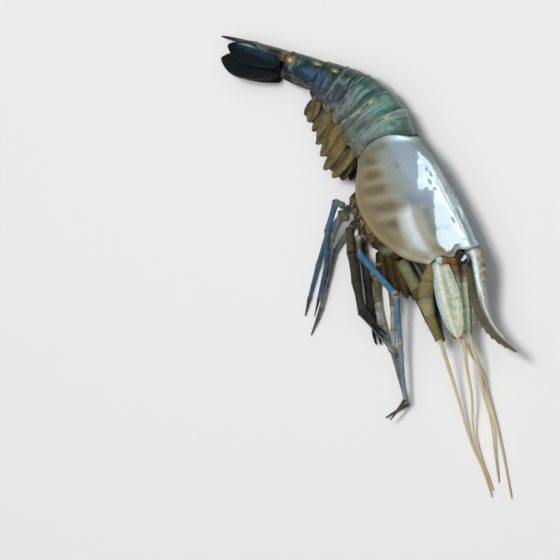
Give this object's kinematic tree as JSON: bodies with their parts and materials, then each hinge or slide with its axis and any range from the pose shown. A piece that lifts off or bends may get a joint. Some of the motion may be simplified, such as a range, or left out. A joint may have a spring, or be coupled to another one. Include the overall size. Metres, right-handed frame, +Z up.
{
  "type": "giant river prawn",
  "caption": "Whole raw giant river prawn lying on its side, with a smooth carapace, toothed rostrum, jointed tail, tail fan, folded legs and trailing feelers.",
  "frame": {"origin": "middle of the outer box, on the table the prawn lies on", "axes": "+Z up from the table; +Y along the prawn's length towards its tail, with the head towards -Y; +X towards the side its back faces"},
  "size_m": [0.1618, 0.2358, 0.0356],
  "materials": {
    "shell_grey": "wet, semi-gloss shell",
    "shell_teal": "wet, glossy shell",
    "shell_dark": "wet, semi-gloss shell",
    "leg_blue": "smooth shell",
    "leg_olive": "smooth shell",
    "leg_pale": "smooth, slightly clear shell",
    "gill_brown": "soft, wet",
    "feeler_tan": "fine rings",
    "eye_black": "polished",
    "rostrum_olive": "smooth shell"
  },
  "bodies": {
    "root": {"carapace": "shell_grey", "thorax": "gill_brown", "mouthparts": "gill_brown", "somite_1": "shell_teal", "somite_2": "shell_teal", "somite_3": "shell_teal", "somite_4": "shell_teal", "somite_5": "shell_dark", "somite_6": "shell_dark", "telson": "shell_dark", "uropod_outer_right": "shell_dark", "uropod_inner_right": "shell_dark", "pleopod_1_right": "gill_brown", "pleopod_2_right": "gill_brown", "pleopod_3_right": "gill_brown", "pleopod_4_right": "gill_brown", "pleopod_5_right": "gill_brown", "leg_1_right": "leg_pale", "leg_2_right": "leg_olive", "leg_3_right": "leg_blue", "leg_4_right": "leg_pale", "leg_5_right": "leg_blue", "maxilliped_right": "leg_olive", "eye_right": "eye_black", "eyestalk_right": "rostrum_olive", "antennal_scale_right": "leg_pale", "antenna_base_right": "leg_olive", "antennule_base_right": "leg_pale", "uropod_outer_left": "shell_dark", "uropod_inner_left": "shell_dark", "pleopod_1_left": "gill_brown", "pleopod_2_left": "gill_brown", "pleopod_3_left": "gill_brown", "pleopod_4_left": "gill_brown", "pleopod_5_left": "gill_brown", "leg_1_left": "leg_pale", "leg_2_left": "leg_olive", "leg_3_left": "leg_blue", "leg_4_left": "leg_pale", "leg_5_left": "leg_blue", "maxilliped_left": "leg_olive", "eye_left": "eye_black", "eyestalk_left": "rostrum_olive", "antennal_scale_left": "leg_pale", "antenna_base_left": "leg_olive", "antennule_base_left": "leg_pale", "antenna_whip_right": "feeler_tan", "antenna_whip_left": "feeler_tan", "antennule_whip_right": "feeler_tan", "antennule_whip_left": "feeler_tan"}
  },
  "joints": []
}
